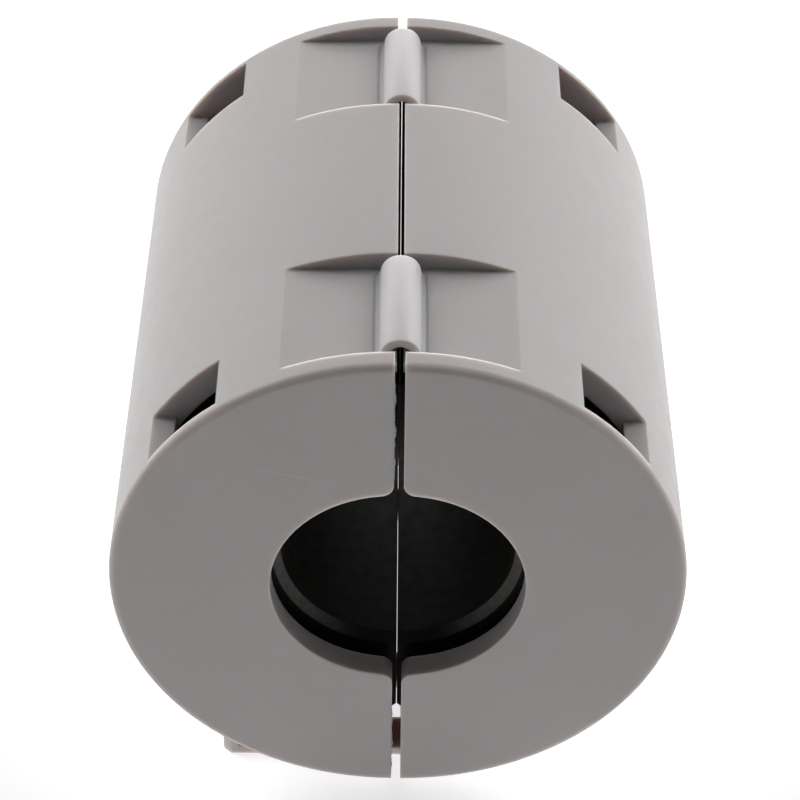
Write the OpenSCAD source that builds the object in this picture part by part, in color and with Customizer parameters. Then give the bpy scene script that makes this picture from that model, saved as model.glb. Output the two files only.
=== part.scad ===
// Clip-on ferrite bead: a two-half case that snaps round a cable, with half a ferrite core in each side.
// Frame: origin on the cable axis at mid length. +Y runs along the cable, +Z towards the two hinge
// straps and +X towards the half that carries the latch straps. Millimetres.

/* [Case] */
// overall width across the two closed halves
case_width = 30; // [22:0.5:44]
// overall length along the cable
case_length = 32.4; // [28:0.1:60]
// thickness of the curved wall
wall_t = 1.45; // [0.9:0.05:2.5]
// thickness of the two end plates
end_plate_t = 1.4; // [0.9:0.05:2.5]
// gap between the end plates of the two halves
split_gap = 0.5; // [0.3:0.05:1]
// gap between the curved walls of the two halves, on the hinge side
seam_gap = 0.32; // [0.2:0.02:0.6]
// gap between the curved walls of the two halves, on the latch side
latch_seam_gap = 0.5; // [0.2:0.02:0.6]
// rounding of the outer edge at both ends
rim_round = 0.4; // [0.2:0.05:0.9]
// rounding where the cable hole meets the split
hole_corner_r = 0.7; // [0.3:0.05:1.2]

/* [Ferrite core] */
// bore of the closed core, which the cable goes through
core_id = 12.4; // [4:0.1:15]
// step from the core's bore out to the cable hole in the end plates
hole_margin = 0.2; // [0:0.05:0.6]
// room between the core and the curved wall, bridged by the ribs
core_space = 0.35; // [0.25:0.05:1]
// room between each end of the core and its end plate, bridged by the stops
end_space = 1.3; // [0.5:0.1:3]
// gap between the ground faces of the two core halves
core_gap = 0.04; // [0.02:0.01:0.2]
// chamfer at both ends of the bore
core_chamfer = 0.45; // [0.2:0.05:1]
// chamfer along the outer corners of the ground faces
core_corner = 1.6; // [0.6:0.1:2]
// play left round the core by the ribs of the case
core_play = 0.08; // [0.03:0.01:0.2]
// thickness of the end stops that hold the core lengthways
stop_t = 1; // [0.6:0.1:2]
// length of each end stop, out from the cable
stop_length = 3.6; // [2:0.1:6]
// distance of the two stops at each end above and below the axis
stop_height = 5.2; // [3:0.1:8]
// width of the guide ribs along the curved wall
guide_width = 1.2; // [0.8:0.1:2]
// length of the guide ribs
guide_length = 17.5; // [8:0.5:24]
// angle of the outer guide ribs up and down from the middle one, in degrees
guide_angle = 58; // [40:1:65]
// length of the beads that hold the core in at the seam
bead_length = 8; // [4:0.5:14]

/* [Hinge straps] */
// distance from each end to its hinge pocket
pocket_inset = 1.2; // [0.8:0.1:2.5]
// length of each hinge pocket
pocket_length = 8.1; // [5:0.1:12]
// depth of a pocket floor below the top of the case
pocket_depth = 0.96; // [0.5:0.02:1.1]
// slope of a pocket floor down to the sides, in degrees
pocket_draft = 1.75; // [0:0.25:5]
// outer width of the arched strap
strap_width = 2.12; // [1.6:0.02:3]
// wall of the arched strap
strap_wall = 0.48; // [0.3:0.02:0.7]
// height of the strap's crown above the top of the case
strap_rise = 0.25; // [0:0.05:0.6]
// radius of the fillets at the strap's feet
foot_round = 0.3; // [0.15:0.05:0.5]
// gap between the end rim and the strap
strap_gap = 0.6; // [0.3:0.1:1.5]
// gap between the strap and the inner end of its pocket
strap_gap_in = 0.5; // [0.3:0.1:1.5]

/* [Side windows] */
// distance from each end to its side windows
window_inset = 0.65; // [0.4:0.05:1.5]
// length of each side window along the case
window_length = 3.45; // [2:0.05:6]
// height of each side window
window_height = 3.8; // [1.5:0.05:4]
// distance of the window's upper face below the top of the case
window_drop = 2.95; // [2.2:0.05:4]
// how far the window's inner face stands inside the meeting of its upper face and the curved wall
window_ledge = 0.2; // [0.1:0.05:0.5]
// width of the sill left under each side window
sill_width = 1.2; // [0.8:0.1:1.6]
// depth of the relief that the wall has behind the sill
sill_relief = 1; // [0.4:0.1:2]

/* [Latches] */
// distance from each end to its latch strap
latch_inset = 2.6; // [2:0.1:5]
// width of each latch strap along the case
latch_width = 7.6; // [5:0.1:9]
// thickness of the latch strap
latch_t = 0.55; // [0.4:0.05:1]
// gap between the latch strap and the case above it
latch_gap = 0.12; // [0.06:0.02:0.4]
// distance of the strap's free end from the split
latch_reach = 9.7; // [7:0.1:12]
// width of the cross bar that holds the catch
bar_width = 1.8; // [1.2:0.1:3]
// width of each side arm of the latch strap
arm_width = 2.4; // [1:0.05:2.4]
// distance of the strap's bending line from the split
latch_root = 1.3; // [0.8:0.1:2]
// length of the block that joins the strap to the case
root_length = 2.7; // [2:0.1:4]
// height of the finger lip on the strap's free end
lip_rise = 0.6; // [0.2:0.05:0.9]
// thickness of the finger lip
lip_t = 0.8; // [0.5:0.05:1.2]
// width of the strip between the strap's window and its bending line
root_strip = 0.7; // [0.4:0.1:1.2]
// gap between the catch and the strap's window
catch_gap = 0.15; // [0.08:0.01:0.3]
// length of the catch, from its hooking face to the end of its ramp
catch_length = 2.6; // [1.8:0.1:4]
// length of the catch's flat tip
catch_tip = 0.7; // [0.4:0.1:1.5]
// distance of the catch's tip above the strap's lower face
catch_inset = 0.12; // [0.05:0.01:0.3]
// length of the 45 degree cut at the corners of the free end
tip_cut = 0.42; // [0.2:0.02:0.8]

/* [Hidden] */
$fn = 96;
half_l = case_length / 2;
half_gap = split_gap / 2;
half_seam = seam_gap / 2;
half_latch_seam = latch_seam_gap / 2;
half_core_gap = core_gap / 2;
// each half is round about an axis on its own parting face
shell_r = case_width / 2 - half_gap;
cavity_r = shell_r - wall_t;
// the core fills what the wall, the end plates and their room leave
core_r = cavity_r - core_space;
core_end = half_l - end_plate_t - end_space;
bore_r = core_id / 2;
hole_r = bore_r + hole_margin;
pocket_floor = shell_r - pocket_depth;
strap_r = strap_width / 2;
strap_crown = shell_r + strap_rise;
strap_axis = strap_crown - strap_r;
// the fillets run out into the sloping pocket floor
foot_top = pocket_floor - (strap_r + foot_round) * tan(pocket_draft) + foot_round;
pocket_start = half_l - pocket_inset;
pocket_end = pocket_start - pocket_length;
strap_start = pocket_start - strap_gap;
strap_end = pocket_end + strap_gap_in;
window_high = shell_r - window_drop;
window_low = window_high - window_height;
latch_top = -shell_r - latch_gap;
latch_low = latch_top - latch_t;
latch_mid = latch_top - latch_t / 2;
latch_out = half_l - latch_inset;
latch_in = latch_out - latch_width;
catch_x = -latch_reach + bar_width + catch_gap;
catch_low = latch_low + catch_inset;
// the strap's round end turns in the block with a running clearance
turn_play = 0.04;
// length of the window in the latch strap
latch_window = latch_reach - bar_width + latch_root - root_strip;
// pieces that are moulded on reach this far into the wall they grow from
root_in = wall_t / 2;
corner_z = sqrt(pow(hole_r + hole_corner_r, 2) - pow(hole_corner_r, 2));
// a bead's slope lies along this share of the core's corner chamfer
bead_share = 0.65;
// a cut runs this far past the face that it opens
over = 1;
nylon = [0.69, 0.67, 0.665];
ferrite = [0.09, 0.085, 0.08];
far = 40;

// a prism along the cable axis, drawn in X and Z, from y0 to y1
module along(y0, y1) {
  translate([0, y1, 0]) {
    rotate([90, 0, 0]) {
      linear_extrude(height = y1 - y0) children();
    }
  }
}

// a round bar on the cable axis from y0 to y1
module bar(r, y0, y1) {
  translate([0, y1, 0]) {
    rotate([90, 0, 0]) {
      cylinder(r = r, h = y1 - y0);
    }
  }
}

// both ends of the part, from one drawn at the rear
module both_ends() {
  children();
  mirror([0, 1, 0]) children();
}

// the outer half cylinder with its rounded rims
module rim_profile() {
  union() {
    square([shell_r - rim_round, half_l]);
    square([shell_r, half_l - rim_round]);
    translate([shell_r - rim_round, half_l - rim_round]) circle(r = rim_round);
  }
}

module outer_round() {
  translate([half_gap, 0, 0]) {
    rotate([-90, 0, 0]) {
      union() {
        rotate_extrude() rim_profile();
        mirror([0, 0, 1]) rotate_extrude() rim_profile();
      }
    }
  }
}

// material kept on the right of the parting faces
module right_side() {
  union() {
    translate([half_gap, -far, -far]) cube([far, 2 * far, 2 * far]);
    translate([half_seam, -half_l + end_plate_t, 0]) {
      cube([far, case_length - 2 * end_plate_t, far]);
    }
    translate([half_latch_seam, -half_l + end_plate_t, -far]) {
      cube([far, case_length - 2 * end_plate_t, far]);
    }
  }
}

// the sharp corners between the cable hole and the split
module hole_corners() {
  for (up = [0, 1]) {
    mirror([0, up]) {
      difference() {
        translate([half_gap - over, hole_r - over]) {
          square([over + hole_corner_r, corner_z - hole_r + over]);
        }
        translate([half_gap + hole_corner_r, corner_z]) circle(r = hole_corner_r);
      }
    }
  }
}

module pocket_outline() {
  polygon([
    [-far, pocket_floor - far * tan(pocket_draft)],
    [0, pocket_floor],
    [far, pocket_floor - far * tan(pocket_draft)],
    [far, far],
    [-far, far]
  ]);
}

// one hinge pocket, cut across the seam
module pocket_space() {
  along(pocket_end, pocket_start) pocket_outline();
}

// a side window, drawn out sideways through the whole wall, and the relief behind its sill
module window_space() {
  inner_x = half_gap + sqrt(pow(cavity_r, 2) - pow(window_high, 2)) - window_ledge;
  translate([inner_x, half_l - window_inset - window_length, window_low]) {
    cube([far, window_length, window_height]);
  }
  wall_x = half_gap + sqrt(pow(cavity_r, 2) - pow(window_low, 2)) - window_ledge;
  sill_x = half_gap + sqrt(pow(shell_r, 2) - pow(window_low, 2)) - sill_width;
  translate([wall_x, half_l - window_inset - window_length, window_low - sill_relief]) {
    cube([sill_x - wall_x, window_length, sill_relief + over / 2]);
  }
}

// stops that hold the core lengthways, standing on the end plate
module core_stops() {
  stop_x = sqrt(pow(core_r, 2) - pow(stop_height, 2)) - stop_length - stop_t / 2;
  for (up = [0, 1]) {
    mirror([0, 0, up]) {
      translate([stop_x, core_end + core_play, stop_height - stop_t / 2]) {
        cube([stop_length, end_space - core_play + end_plate_t / 2, stop_t]);
      }
    }
  }
}

// ribs along the curved wall that keep the core centred
module core_guides() {
  for (a = [-guide_angle, 0, guide_angle]) {
    rotate([0, a, 0]) {
      translate([core_r + core_play, -guide_length / 2, -guide_width / 2]) {
        cube([shell_r - core_r - core_play - root_in, guide_length, guide_width]);
      }
    }
  }
}

// beads along the seam that reach over the core's chamfered corners
module core_beads() {
  lip = core_r - core_corner + half_gap - half_core_gap + 2 * core_play;
  wall_in = cavity_r + root_in;
  for (up = [0, 1]) {
    mirror([0, 0, up]) {
      along(-bead_length / 2, bead_length / 2) {
        polygon([
          [half_gap, wall_in],
          [half_gap, lip],
          [half_gap + core_corner * bead_share, lip + core_corner * bead_share],
          [half_gap + core_corner, core_r + core_play],
          [half_gap + core_corner, wall_in]
        ]);
      }
    }
  }
}

// one half of the case, without its half of the latches
module plain_half() {
  difference() {
    intersection() {
      outer_round();
      right_side();
    }
    difference() {
      translate([half_gap, 0, 0]) bar(cavity_r, -half_l + end_plate_t, half_l - end_plate_t);
      both_ends() core_stops();
      core_guides();
      core_beads();
    }
    translate([half_gap, 0, 0]) bar(hole_r, -far, far);
    both_ends() {
      pocket_space();
      window_space();
      along(half_l - end_plate_t, far) hole_corners();
    }
  }
}

// the block that a latch strap grows from, hollowed for the strap's round end
module root_block() {
  difference() {
    along(latch_in, latch_out) {
      translate([latch_root, latch_low]) square([root_length, -latch_low - cavity_r]);
    }
    translate([half_gap, 0, 0]) bar(shell_r - root_in, -far, far);
    translate([latch_root, 0, latch_mid]) bar(latch_t / 2 + turn_play, -far, far);
  }
}

// the catch: a flat hooking face towards the cross bar and a ramp behind it
module catch_block() {
  difference() {
    along(latch_in + arm_width + catch_gap, latch_out - arm_width - catch_gap) {
      polygon([
        [catch_x, -cavity_r + catch_length],
        [catch_x, catch_low],
        [catch_x + catch_tip, catch_low],
        [catch_x + catch_length, latch_top + latch_t],
        [catch_x + catch_length, -cavity_r + catch_length]
      ]);
    }
    translate([-half_gap, 0, 0]) bar(shell_r - root_in, -far, far);
  }
}

module case_latch_half() {
  color(nylon) {
    union() {
      plain_half();
      both_ends() root_block();
    }
  }
}

module case_catch_half() {
  color(nylon) {
    union() {
      mirror([1, 0, 0]) plain_half();
      both_ends() catch_block();
    }
  }
}

// half a core: ground flat at the split, with a chamfered bore and chamfered corners
module core_half() {
  difference() {
    bar(core_r, -core_end, core_end);
    bar(bore_r, -far, far);
    both_ends() {
      translate([0, core_end - core_chamfer, 0]) {
        rotate([-90, 0, 0]) {
          cylinder(r1 = bore_r, r2 = bore_r + core_chamfer, h = core_chamfer);
        }
      }
    }
    translate([half_core_gap - far, -far, -far]) cube([far, 2 * far, 2 * far]);
    for (up = [0, 1]) {
      mirror([0, 0, up]) {
        along(-far, far) {
          polygon([
            [half_core_gap - over, core_r - core_corner - over],
            [half_core_gap + core_corner + over, core_r + over],
            [half_core_gap - over, core_r + over]
          ]);
        }
      }
    }
  }
}

module core_half_right() {
  color(ferrite) core_half();
}

module core_half_left() {
  color(ferrite) mirror([1, 0, 0]) core_half();
}

// the outline of a strap and of the fillets at its feet
module strap_outline() {
  union() {
    translate([0, strap_axis]) circle(r = strap_r);
    translate([-strap_r, strap_axis - strap_r]) square([2 * strap_r, strap_r]);
    for (side = [0, 1]) {
      mirror([side, 0]) {
        difference() {
          translate([strap_r - over, foot_top - foot_round - over]) {
            square([over + foot_round, foot_round + over]);
          }
          translate([strap_r + foot_round, foot_top]) circle(r = foot_round);
        }
      }
    }
  }
}

// a thin arch over the seam, open underneath so that it can bend flat
module strap() {
  intersection() {
    along(strap_end, strap_start) {
      difference() {
        strap_outline();
        union() {
          translate([0, strap_axis]) circle(r = strap_r - strap_wall);
          translate([-strap_r + strap_wall, strap_axis - 2 * strap_r]) {
            square([2 * (strap_r - strap_wall), 2 * strap_r]);
          }
        }
      }
    }
    pocket_space();
  }
}

module hinge_strap_rear() {
  color(nylon) strap();
}

module hinge_strap_front() {
  color(nylon) mirror([0, 1, 0]) strap();
}

// a flat loop that reaches under the other half and hooks over its catch
module latch_outline() {
  difference() {
    polygon([
      [-latch_reach, latch_in + tip_cut],
      [-latch_reach + tip_cut, latch_in],
      [latch_root, latch_in],
      [latch_root, latch_out],
      [-latch_reach + tip_cut, latch_out],
      [-latch_reach, latch_out - tip_cut]
    ]);
    translate([-latch_reach + bar_width, latch_in + arm_width]) {
      square([latch_window, latch_width - 2 * arm_width]);
    }
  }
}

module latch_strap() {
  union() {
    translate([0, 0, latch_low]) linear_extrude(height = latch_t) latch_outline();
    intersection() {
      translate([0, 0, latch_low]) linear_extrude(height = latch_t + lip_rise) latch_outline();
      translate([-far, -far, -far]) cube([far - latch_reach + lip_t, 2 * far, 2 * far]);
    }
    translate([latch_root, 0, latch_mid]) bar(latch_t / 2, latch_in, latch_out);
  }
}

module latch_strap_rear() {
  color(nylon) latch_strap();
}

module latch_strap_front() {
  color(nylon) mirror([0, 1, 0]) latch_strap();
}

case_latch_half();
case_catch_half();
core_half_right();
core_half_left();
hinge_strap_front();
hinge_strap_rear();
latch_strap_front();
latch_strap_rear();
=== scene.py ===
"""Looks of a clip-on ferrite bead: a grey nylon case in two halves round a split ferrite core.

Everything is in metres in the row frame: +Y along the cable, +Z towards the hinge straps and +X
towards the half that carries the latch loops. The part lies on its latch straps.
"""

import math

import bmesh
import bpy
import numpy as np
from mathutils import Matrix, Vector


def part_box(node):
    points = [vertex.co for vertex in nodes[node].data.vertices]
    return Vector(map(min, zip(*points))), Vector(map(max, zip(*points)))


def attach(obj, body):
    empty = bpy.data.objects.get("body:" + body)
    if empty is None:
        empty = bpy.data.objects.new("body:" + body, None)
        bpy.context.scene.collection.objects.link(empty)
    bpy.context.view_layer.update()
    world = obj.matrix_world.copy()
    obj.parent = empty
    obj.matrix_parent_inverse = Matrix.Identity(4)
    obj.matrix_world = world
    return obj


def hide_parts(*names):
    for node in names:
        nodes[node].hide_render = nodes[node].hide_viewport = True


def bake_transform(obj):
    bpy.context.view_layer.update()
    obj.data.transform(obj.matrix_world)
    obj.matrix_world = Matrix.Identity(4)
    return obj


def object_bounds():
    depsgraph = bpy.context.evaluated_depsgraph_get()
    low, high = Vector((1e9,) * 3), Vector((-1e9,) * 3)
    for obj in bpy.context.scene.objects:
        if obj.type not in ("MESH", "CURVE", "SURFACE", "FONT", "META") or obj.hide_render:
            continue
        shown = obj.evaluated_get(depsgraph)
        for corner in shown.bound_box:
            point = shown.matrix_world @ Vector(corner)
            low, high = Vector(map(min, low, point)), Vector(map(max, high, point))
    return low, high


MM = 0.001

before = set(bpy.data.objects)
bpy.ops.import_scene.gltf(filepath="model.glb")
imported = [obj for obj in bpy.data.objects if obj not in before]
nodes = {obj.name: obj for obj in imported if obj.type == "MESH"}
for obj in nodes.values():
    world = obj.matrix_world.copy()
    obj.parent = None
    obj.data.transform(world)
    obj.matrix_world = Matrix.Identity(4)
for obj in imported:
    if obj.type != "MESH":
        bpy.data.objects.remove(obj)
cad_low, cad_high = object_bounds()


# ---------------------------------------------------------------- camera


def studio_camera(azimuth, elevation, roll, aim, distance, lens):
    """A camera that looks at aim from a distance, by azimuth and elevation in degrees.

    Its back axis is (sin az cos el, -cos az cos el, sin el), its side axis is level, and both
    are then turned by roll about the view.
    """
    az = math.radians(azimuth)
    el = math.radians(elevation)
    ro = math.radians(roll)
    back = Vector((math.sin(az) * math.cos(el), -math.cos(az) * math.cos(el), math.sin(el)))
    side = (-back).cross(Vector((0, 0, 1))).normalized()
    up = side.cross(-back)
    cam_x = side * math.cos(ro) + up * math.sin(ro)
    cam_y = up * math.cos(ro) - side * math.sin(ro)
    data = bpy.data.cameras.new("studio_camera")
    data.lens = lens
    data.sensor_width = 36
    data.clip_start = 0.005
    data.clip_end = 20
    camera = bpy.data.objects.new("studio_camera", data)
    bpy.context.scene.collection.objects.link(camera)
    turn = Matrix((cam_x, cam_y, back)).transposed().to_4x4()
    camera.matrix_world = Matrix.Translation(Vector(aim) + back * distance) @ turn
    bpy.context.scene.camera = camera


studio_camera(
    azimuth=-0.152,
    elevation=39.615,
    roll=0.656,
    aim=(0.00004, -0.00259, 0.00142),
    distance=0.14729,
    lens=119.4,
)


# ---------------------------------------------------------------- materials

EDGE_ROUND = 0.16 * MM
EDGE_FLAT = 0.985
EDGE_TURNED = 0.82
EDGE_SAMPLES = 6

NYLON_DARK = (0.452, 0.427, 0.429)
NYLON_LIGHT = (0.464, 0.438, 0.440)
NYLON_BENT = (0.63, 0.61, 0.62)
# Pale nylon for the fine grain and the hair scratch, and for edges painted paler as a painted
# highlight.
NYLON_PALE_MARK_AND_HIGHLIGHT = (0.61, 0.607, 0.60)
NYLON_LIGHT_DEPTH = 0.9 * MM
CROWN_FROM = 0.95 * MM
CROWN_TO = 1.1 * MM
SCRATCH_MIDDLE = (-5.7 * MM, cad_low.y, 7.75 * MM)
SCRATCH_REACH = (3.6 * MM, 0.4 * MM, 0.09 * MM)
SCRATCH_TURN = 12.8

FERRITE_DARK = (0.0115, 0.0105, 0.0085)
FERRITE_LIGHT = (0.0160, 0.0148, 0.0122)
# Chamfer grey, paler from grinding and lightened towards left and right as painted light.
FERRITE_GROUND_AND_LIT = (0.165, 0.161, 0.155)
# Paler grey for the core's edges, a painted highlight.
FERRITE_EDGE_HIGHLIGHT = (0.06, 0.058, 0.055)
CHAMFER_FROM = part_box("core_half_right")[1].y - 0.45 * MM
CHAMFER_OUT = 6.66 * MM
CHAMFER_FADE = 0.02 * MM
# Distance from the parting plane over which the chamfers' painted light grows.
LIT_SIDES_FROM = 1.8 * MM
LIT_SIDES_TO = 5.0 * MM


class Finish:
    """A node material with short helpers for building it."""

    def __init__(self, name):
        self.material = bpy.data.materials.new(name)
        self.material.use_nodes = True
        self.nodes = self.material.node_tree.nodes
        self.links = self.material.node_tree.links
        self.shader = self.nodes["Principled BSDF"]
        self.coords = self.nodes.new("ShaderNodeTexCoord")

    def set(self, **values):
        """Sets the shader's own sockets, with _ for a space in a name."""
        for name, value in values.items():
            self.shader.inputs[name.replace("_", " ")].default_value = value

    def noise(self, scale, detail=2.0, roughness=0.5, stretch=(1, 1, 1)):
        """Noise of scale cells a metre on Object coordinates, stretched along the axes."""
        mapping = self.nodes.new("ShaderNodeMapping")
        mapping.inputs["Scale"].default_value = stretch
        self.links.new(self.coords.outputs["Object"], mapping.inputs["Vector"])
        node = self.nodes.new("ShaderNodeTexNoise")
        node.inputs["Scale"].default_value = scale
        node.inputs["Detail"].default_value = detail
        node.inputs["Roughness"].default_value = roughness
        self.links.new(mapping.outputs["Vector"], node.inputs["Vector"])
        return node.outputs["Fac"]

    def spread(self, value, low, high, to_low=0.0, to_high=1.0):
        """Maps low..high of a value to to_low..to_high, smoothly and clamped."""
        node = self.nodes.new("ShaderNodeMapRange")
        node.interpolation_type = "SMOOTHSTEP"
        node.inputs["From Min"].default_value = low
        node.inputs["From Max"].default_value = high
        node.inputs["To Min"].default_value = to_low
        node.inputs["To Max"].default_value = to_high
        self.links.new(value, node.inputs["Value"])
        return node.outputs["Result"]

    def math(self, operation, a, b=None):
        """One Math node; a and b are sockets or numbers."""
        node = self.nodes.new("ShaderNodeMath")
        node.operation = operation
        for socket, value in zip(node.inputs, (a, b)):
            if isinstance(value, bpy.types.NodeSocket):
                self.links.new(value, socket)
            elif value is not None:
                socket.default_value = value
        return node.outputs["Value"]

    def mix(self, factor, a, b):
        """Colour a where factor is 0 and b where it is 1."""
        node = self.nodes.new("ShaderNodeMix")
        node.data_type = "RGBA"
        if isinstance(factor, bpy.types.NodeSocket):
            self.links.new(factor, node.inputs["Factor"])
        else:
            node.inputs["Factor"].default_value = factor
        for socket, value in ((node.inputs[6], a), (node.inputs[7], b)):
            if isinstance(value, bpy.types.NodeSocket):
                self.links.new(value, socket)
            else:
                socket.default_value = (*value, 1)
        return node.outputs[2]

    def apart(self, x, y, z):
        """The length of the Object coordinates when each is multiplied by its own factor."""
        scaled = self.nodes.new("ShaderNodeVectorMath")
        scaled.operation = "MULTIPLY"
        self.links.new(self.coords.outputs["Object"], scaled.inputs[0])
        scaled.inputs[1].default_value = (x, y, z)
        size = self.nodes.new("ShaderNodeVectorMath")
        size.operation = "LENGTH"
        self.links.new(scaled.outputs["Vector"], size.inputs[0])
        return size.outputs["Value"]

    def across(self):
        """Distance from the parting plane."""
        return self.apart(1, 0, 0)

    def depth(self):
        """Distance along the cable from the middle."""
        return self.apart(0, 1, 0)

    def radius(self):
        """Distance from the cable axis."""
        return self.apart(1, 0, 1)

    def radius_on_floor(self):
        """Distance from the upright line through the origin."""
        return self.apart(1, 1, 0)

    def stroke(self, middle, reach, turn):
        """1 at the middle of a spindle and 0 outside it, for a scratch.

        reach is the spindle's half length, depth and width, and turn its slope about Y in degrees.
        """
        mapping = self.nodes.new("ShaderNodeMapping")
        mapping.vector_type = "TEXTURE"
        mapping.inputs["Location"].default_value = middle
        mapping.inputs["Rotation"].default_value = (0, math.radians(turn), 0)
        mapping.inputs["Scale"].default_value = reach
        self.links.new(self.coords.outputs["Object"], mapping.inputs["Vector"])
        size = self.nodes.new("ShaderNodeVectorMath")
        size.operation = "LENGTH"
        self.links.new(mapping.outputs["Vector"], size.inputs[0])
        return self.spread(size.outputs["Value"], 0.0, 1.0, 1.0, 0.0)

    def wire(self, value, name):
        """Joins a value to a socket of the shader."""
        self.links.new(value, self.shader.inputs[name])

    def rounded(self, radius):
        """The surface's normal with its edges rounded by radius metres."""
        node = self.nodes.new("ShaderNodeBevel")
        node.samples = EDGE_SAMPLES
        node.inputs["Radius"].default_value = radius
        return node.outputs["Normal"]

    def edge(self, rounded):
        """1 along edges and 0 on faces: how far the rounded normal leans from the true one.

        The lean is the dot product of the two, which is 1 where they agree.
        """
        true = self.nodes.new("ShaderNodeNewGeometry")
        dot = self.nodes.new("ShaderNodeVectorMath")
        dot.operation = "DOT_PRODUCT"
        self.links.new(rounded, dot.inputs[0])
        self.links.new(true.outputs["Normal"], dot.inputs[1])
        return self.spread(dot.outputs["Value"], EDGE_TURNED, EDGE_FLAT, 1.0, 0.0)

    def bump(self, height, distance, strength, below=None):
        """A bump of a height field that is distance metres deep, over another bump."""
        node = self.nodes.new("ShaderNodeBump")
        node.inputs["Strength"].default_value = strength
        node.inputs["Distance"].default_value = distance
        self.links.new(height, node.inputs["Height"])
        if below is not None:
            self.links.new(below, node.inputs["Normal"])
        return node.outputs["Normal"]


def nylon_finish(name, roughness, crown=None):
    """Satin moulded nylon with faint flow clouding, a fine grain and edges painted paler as a painted
    highlight.

    Light travels a little way through it, and one hair scratch lies on the front end plate.
    crown is the paler colour of a strap where it is bent, which fades out at its feet.
    """
    f = Finish(name)
    f.set(IOR=1.46, Specular_IOR_Level=0.45, Subsurface_Weight=1.0)
    f.set(Subsurface_Scale=NYLON_LIGHT_DEPTH, Subsurface_Radius=(1.0, 0.80, 0.64))
    round_normal = f.rounded(EDGE_ROUND)
    clouds = f.spread(f.noise(160, 3, 0.55, (1, 0.5, 1)), 0.3, 0.7)
    body = f.mix(clouds, NYLON_DARK, NYLON_LIGHT)
    edge = f.edge(round_normal)
    below = round_normal
    if crown is not None:
        on_crown = f.spread(f.across(), CROWN_FROM, CROWN_TO, 1.0, 0.0)
        body = f.mix(on_crown, body, crown)
        # On a strap the painted edge highlight is kept to the crown.
        edge = f.math("MULTIPLY", edge, on_crown)
        below = None
    speckle = f.spread(f.noise(2600, 2, 0.6), 0.35, 0.65)
    grain = f.mix(f.math("MULTIPLY", speckle, 0.05), body, NYLON_PALE_MARK_AND_HIGHLIGHT)
    scratch = f.stroke(SCRATCH_MIDDLE, SCRATCH_REACH, SCRATCH_TURN)
    grain = f.mix(f.math("MULTIPLY", scratch, 0.35), grain, NYLON_PALE_MARK_AND_HIGHLIGHT)
    # Edges are painted paler in patches, as a painted highlight.
    edge_highlight_patches = f.spread(f.noise(900, 2, 0.6), 0.25, 0.6, 0.55, 1.0)
    f.wire(f.mix(f.math("MULTIPLY", edge, edge_highlight_patches), grain, NYLON_PALE_MARK_AND_HIGHLIGHT), "Base Color")
    satin = f.spread(f.noise(700, 3, 0.6), 0.3, 0.7, roughness - 0.05, roughness + 0.05)
    f.wire(satin, "Roughness")
    waves = f.bump(f.noise(240, 2, 0.5, (1, 0.35, 1)), 0.02 * MM, 0.06, below)
    f.wire(f.bump(f.noise(5200, 2, 0.55), 0.004 * MM, 0.2, waves), "Normal")
    return f.material


def core_ferrite():
    """Pressed and fired ferrite: near black, dull, with a fine pitted grain.

    The bore's end chamfers are paler from grinding, and are painted lighter still towards left and
    right as painted light.
    """
    f = Finish("core_ferrite")
    f.set(IOR=1.6, Specular_IOR_Level=0.22)
    patch = f.spread(f.noise(420, 3, 0.6), 0.3, 0.7)
    round_normal = f.rounded(EDGE_ROUND)
    body = f.mix(patch, FERRITE_DARK, FERRITE_LIGHT)
    ends = f.spread(f.depth(), CHAMFER_FROM, CHAMFER_FROM + CHAMFER_FADE)
    inside = f.spread(f.radius(), CHAMFER_OUT, CHAMFER_OUT + CHAMFER_FADE, 1.0, 0.0)
    # Painted light: the chamfers are painted lighter towards left and right, where lamps light them.
    lit_sides = f.spread(f.across(), LIT_SIDES_FROM, LIT_SIDES_TO)
    chamfer_ground_and_lit = f.math("MULTIPLY", f.math("MULTIPLY", ends, inside), lit_sides)
    chamfer_ground_and_lit = f.math("MULTIPLY", chamfer_ground_and_lit, f.spread(f.noise(1900, 3, 0.7), 0.3, 0.7, 0.7, 1.0))
    body = f.mix(chamfer_ground_and_lit, body, FERRITE_GROUND_AND_LIT)
    # Edges are painted paler, as a painted highlight.
    f.wire(f.mix(f.edge(round_normal), body, FERRITE_EDGE_HIGHLIGHT), "Base Color")
    f.wire(f.spread(f.noise(1500, 3, 0.6), 0.3, 0.7, 0.55, 0.7), "Roughness")
    f.wire(f.bump(f.noise(4200, 4, 0.7), 0.008 * MM, 0.5, round_normal), "Normal")
    return f.material


case_nylon = nylon_finish("case_nylon", 0.47)
strap_nylon = nylon_finish("strap_nylon", 0.45, NYLON_BENT)
ferrite = core_ferrite()
FINISHES = {
    "case_latch_half": case_nylon,
    "case_catch_half": case_nylon,
    "hinge_strap_front": strap_nylon,
    "hinge_strap_rear": strap_nylon,
    "latch_strap_front": case_nylon,
    "latch_strap_rear": case_nylon,
    "core_half_right": ferrite,
    "core_half_left": ferrite,
}
for name, material in FINISHES.items():
    nodes[name].material_slots[0].material = material


# ---------------------------------------------------------------- hinge straps

STRAP_WALL = 0.48 * MM
FOOT_ROUND = 0.3 * MM
STRAP_EDGE = 0.07 * MM
FOOT_SUNK = 0.2 * MM
POCKET_DRAFT = math.tan(math.radians(1.75))
FOOT_STEPS = 8
ARCH_STEPS = 41
CORNER_STEPS = 4
CREASE = 50


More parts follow.
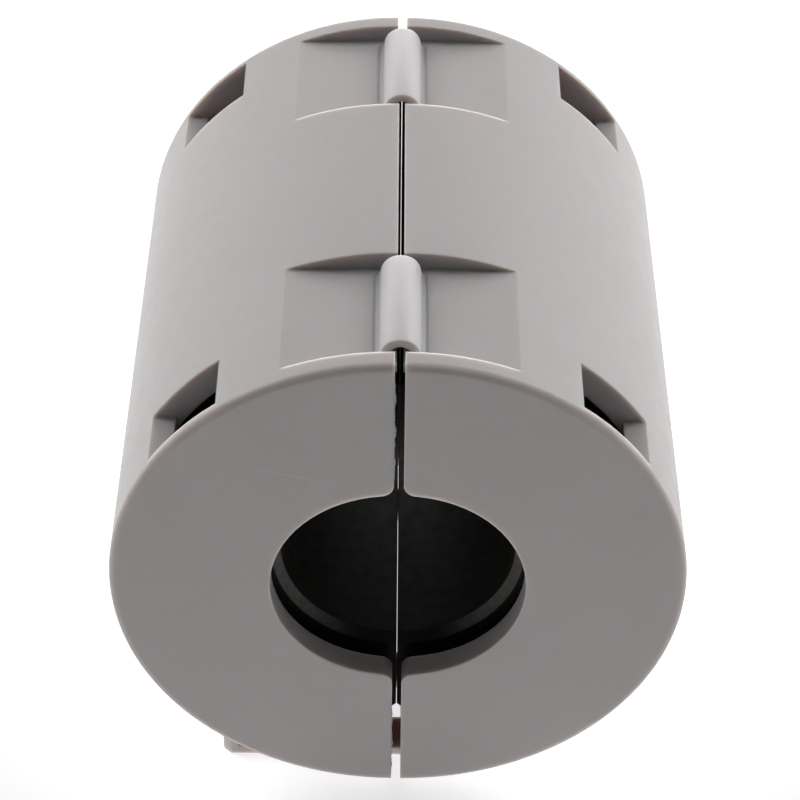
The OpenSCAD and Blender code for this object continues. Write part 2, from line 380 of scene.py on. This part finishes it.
def shell_piece(name, points, material, body=None):
    """A closed piece from a grid of points, rows along a path and columns round its section.

    The section closes on itself, and one many-sided face shuts each end of the path.
    """
    rows, columns = points.shape[:2]
    index = np.arange(rows * columns).reshape(rows, columns)
    beside = np.roll(index, -1, axis=1)
    quads = np.stack([index[:-1], beside[:-1], beside[1:], index[1:]], axis=-1).reshape(-1, 4)
    caps = [index[0][::-1].tolist(), index[-1].tolist()]
    mesh = bpy.data.meshes.new(name)
    mesh.from_pydata(points.reshape(-1, 3).tolist(), [], quads.tolist() + caps)
    mesh.materials.append(material)
    solid = bmesh.new()
    solid.from_mesh(mesh)
    bmesh.ops.recalc_face_normals(solid, faces=solid.faces)
    solid.to_mesh(mesh)
    solid.free()
    mesh.shade_smooth()
    mesh.set_sharp_from_angle(angle=math.radians(CREASE))
    piece = bpy.data.objects.new(name, mesh)
    bpy.context.scene.collection.objects.link(piece)
    if body is not None:
        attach(piece, body)
    return piece


def rounded_section(width, depth, radius):
    """Points round a rectangle with rounded corners, measured from its middle.

    Each corner is a quarter circle. A point is a corner's inset centre plus radius times the
    cosine and sine of its angle.
    """
    angle = np.linspace(0, math.pi / 2, CORNER_STEPS)
    turns = np.concatenate([angle + q * math.pi / 2 for q in range(4)])
    side = np.repeat([1, -1, -1, 1], CORNER_STEPS)
    end = np.repeat([1, 1, -1, -1], CORNER_STEPS)
    across = side * (width / 2 - radius) + radius * np.cos(turns)
    along = end * (depth / 2 - radius) + radius * np.sin(turns)
    return across, along


def hinge_strap(node):
    """A thin arch over the seam, standing on filleted feet.

    The outer line is a quarter circle up from the pocket floor, a half circle of the strap's
    outer radius over the seam, and the same quarter circle down again. The inner line goes
    straight up, round a half circle smaller by the wall, and straight down. Both lines start
    and end a little below the floor, inside the case wall. A rounded rectangle is spread
    between the two lines at each step, and its length lies along Y.
    """
    low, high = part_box(node)
    radius = high.x - FOOT_ROUND
    axis = high.z - radius
    floor = low.z + high.x * POCKET_DRAFT
    fillet_z = low.z + FOOT_ROUND
    spring = math.asin((fillet_z - axis) / radius)
    foot = np.linspace(-math.pi / 2, -math.pi, FOOT_STEPS)
    over = np.linspace(spring, math.pi - spring, ARCH_STEPS)[1:]
    outer_x = np.concatenate([high.x + FOOT_ROUND * np.cos(foot), radius * np.cos(over)])
    outer_z = np.concatenate([fillet_z + FOOT_ROUND * np.sin(foot), axis + radius * np.sin(over)])
    inside = radius - STRAP_WALL
    inner_low = floor - inside * POCKET_DRAFT
    inner_x = np.concatenate([np.full(len(foot), inside), inside * np.cos(over)])
    rise = np.linspace(inner_low, axis, len(foot) + 1)[:-1]
    inner_z = np.concatenate([rise, axis + inside * np.sin(over)])
    outer = np.stack([outer_x, outer_z], axis=-1)
    inner = np.stack([inner_x, inner_z], axis=-1)
    flip = np.array([-1, 1])
    outer = np.concatenate([outer, (outer[: len(foot)] * flip)[::-1]])
    inner = np.concatenate([inner, (inner[: len(foot)] * flip)[::-1]])
    sunk = np.array([0, FOOT_SUNK])
    outer = np.concatenate([outer[:1] - sunk, outer, outer[-1:] - sunk])
    inner = np.concatenate([inner[:1] - sunk, inner, inner[-1:] - sunk])
    wall = np.linalg.norm(outer - inner, axis=-1)
    unit_across, along = rounded_section(STRAP_WALL, high.y - low.y, STRAP_EDGE)
    from_edge = STRAP_WALL / 2 - np.abs(unit_across)
    near = from_edge[None, :] / wall[:, None]
    share = np.where(unit_across > 0, 1 - near, near)
    line = inner[:, None, :] + (outer - inner)[:, None, :] * share[..., None]
    points = np.empty((*share.shape, 3))
    points[..., 0] = line[..., 0]
    points[..., 1] = (low.y + high.y) / 2 + along[None, :]
    points[..., 2] = line[..., 1]
    piece = shell_piece(node + "_arch", points, strap_nylon)
    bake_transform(piece)
    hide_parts(node)


hinge_strap("hinge_strap_front")
hinge_strap("hinge_strap_rear")


# ---------------------------------------------------------------- moulding flash

SPLIT_EDGE = -0.25 * MM
FLASH_FOOT = 0.05 * MM
FLASH_STEPS = 90
FLASH_WAVES = np.array([3, 7, 13, 22, 37])
FLASH_SECTION_X = np.array([-FLASH_FOOT, 0, 1, 0.9, 0, -FLASH_FOOT])
FLASH_SECTION_Y = np.array([0.02, 0.02, 0.03, 0.06, 0.16, 0.16]) * MM


def parting_flash(name, z_from, z_to, height, seed):
    """A ragged sliver of flash along the split edge of the catch half's front end plate.

    Its section is a thin wedge with its foot sunk in the edge and its tip across the split.
    The tip's reach is a sum of sines of z with seeded phases and sizes, kept between a low
    and a high bound and multiplied by the root of a half sine, so it fades at both ends.
    """
    rng = np.random.default_rng(seed)
    z = np.linspace(z_from, z_to, FLASH_STEPS)
    span = z_to - z_from
    phase = rng.uniform(0, 2 * math.pi, len(FLASH_WAVES))
    swing = rng.uniform(0.4, 1.0, len(FLASH_WAVES)) / np.sqrt(FLASH_WAVES)
    turn = 2 * math.pi * FLASH_WAVES[:, None] * (z - z_from) / span + phase[:, None]
    ragged = (swing[:, None] * np.sin(turn)).sum(0)
    fade = np.sin(math.pi * (z - z_from) / span) ** 0.5
    tall = height * np.clip(0.3 + ragged, 0.08, 1) * fade
    sunk = np.minimum(FLASH_SECTION_X, 0)
    reach = np.maximum(FLASH_SECTION_X, 0)
    points = np.empty((len(z), len(FLASH_SECTION_X), 3))
    points[..., 0] = SPLIT_EDGE + sunk + reach * tall[:, None]
    points[..., 1] = cad_low.y + FLASH_SECTION_Y
    points[..., 2] = z[:, None]
    shell_piece(name, points, case_nylon, "catch_side")


parting_flash("flash_above_bore", 7.2 * MM, 14.2 * MM, 0.11 * MM, 5)
parting_flash("flash_below_bore", -14.2 * MM, -8.4 * MM, 0.07 * MM, 9)


# ---------------------------------------------------------------- studio

FLOOR_HALF = 20.0
FLOOR_GAP = 0.02 * MM
WORLD_STRENGTH = 0.10


def studio_floor(height):
    """A wide pale floor at the given height, lit a little from below as a light table is.

    The glow is strongest under the part and falls off with the distance from it.
    """
    half = FLOOR_HALF
    corners = [(x, y, height) for x, y in ((-half, -half), (half, -half), (half, half), (-half, half))]
    mesh = bpy.data.meshes.new("studio_floor")
    mesh.from_pydata(corners, [], [(0, 1, 2, 3)])
    floor = bpy.data.objects.new("studio_floor", mesh)
    bpy.context.scene.collection.objects.link(floor)
    f = Finish("studio_floor")
    f.set(Base_Color=(0.9, 0.9, 0.9, 1), Roughness=0.9, Emission_Color=(1, 1, 1, 1))
    wide = f.spread(f.radius_on_floor(), 0.02, 0.16, 0.37, 0.20)
    near = f.spread(f.radius_on_floor(), 0.014, 0.036, 0.26, 0.0)
    f.wire(f.math("ADD", wide, near), "Emission Strength")
    mesh.materials.append(f.material)


def soft_light(name, place, size, power):
    """A square area light, its side in metres and its power in watts, that faces the origin."""
    data = bpy.data.lights.new(name, "AREA")
    data.shape = "SQUARE"
    data.size = size
    data.energy = power
    lamp = bpy.data.objects.new(name, data)
    bpy.context.scene.collection.objects.link(lamp)
    lamp.location = place
    lamp.rotation_euler = (-Vector(place)).to_track_quat("-Z", "Y").to_euler()


def studio_world(strength):
    """An even dim white surround."""
    world = bpy.data.worlds.new("studio_world")
    world.use_nodes = True
    background = world.node_tree.nodes["Background"]
    background.inputs["Color"].default_value = (1, 1, 1, 1)
    background.inputs["Strength"].default_value = strength
    bpy.context.scene.world = world


studio_floor(cad_low.z - FLOOR_GAP)
studio_world(WORLD_STRENGTH)
SOFT_LIGHTS = {
    "back": ((0, 0.40, 0.12), 0.30, 0.48),
    "left_back": ((-0.28, 0.28, 0.14), 0.30, 0.42),
    "right_back": ((0.28, 0.28, 0.14), 0.30, 0.49),
    "left_up": ((-0.28, 0.14, 0.28), 0.25, 0.70),
    "right_up": ((0.28, 0.14, 0.28), 0.25, 0.68),
    "left": ((-0.40, 0.14, 0.12), 0.25, 0.16),
    "right": ((0.40, 0.14, 0.12), 0.25, 0.25),
}
for name, (place, size, power) in SOFT_LIGHTS.items():
    soft_light("soft_light_" + name, place, size, power)
bpy.context.scene.view_settings.view_transform = "Standard"
